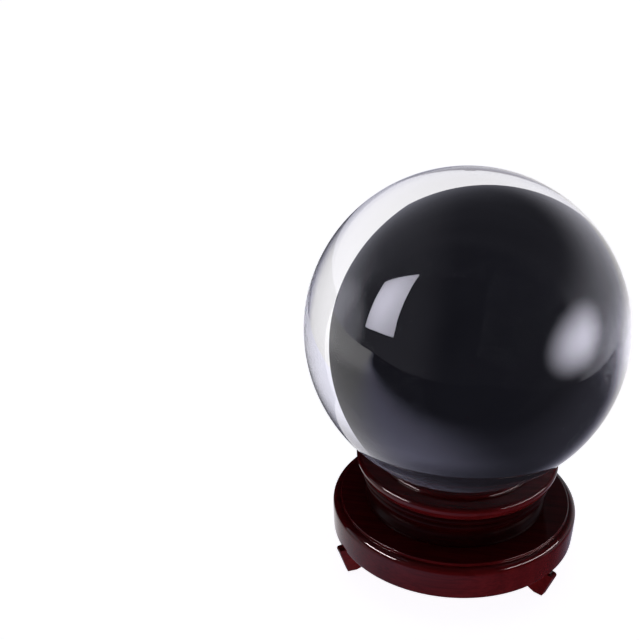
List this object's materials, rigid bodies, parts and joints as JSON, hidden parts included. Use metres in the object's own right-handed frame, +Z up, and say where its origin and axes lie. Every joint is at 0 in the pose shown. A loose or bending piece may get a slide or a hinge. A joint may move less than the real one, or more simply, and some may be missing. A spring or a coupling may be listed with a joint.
{
  "type": "crystal ball",
  "caption": "Solid clear crystal ball resting loose in the ring of a turned, glossy dark red-brown wooden stand with bracket feet.",
  "frame": {"origin": "on the ground, on the axis of the stand and the ball", "axes": "+Z up through the ball's centre; +Y towards the rear foot; -Y is the front, between the two front feet"},
  "size_m": [0.15, 0.15, 0.2003],
  "materials": {
    "clear_crystal": "polished clear crystal, no colour",
    "lacquered_wood": "dark red-brown stain under high-gloss lacquer",
    "foot_wood": "dark red-brown stain under high-gloss lacquer, hand-finished brackets",
    "screw_steel": "bright zinc-plated steel"
  },
  "bodies": {
    "stand": {"seat_ring": "lacquered_wood", "neck": "lacquered_wood", "base_plate": "lacquered_wood", "foot_rear": "foot_wood", "foot_left": "foot_wood", "foot_right": "foot_wood", "neck_screws": "screw_steel", "foot_pins": "screw_steel"},
    "ball": {"crystal_ball": "clear_crystal"}
  },
  "joints": [
    {"name": "ball_lift", "type": "slide", "parent": "stand", "child": "ball", "axis": [0, 0, 1], "range_m": [0, 0.09]}
  ]
}
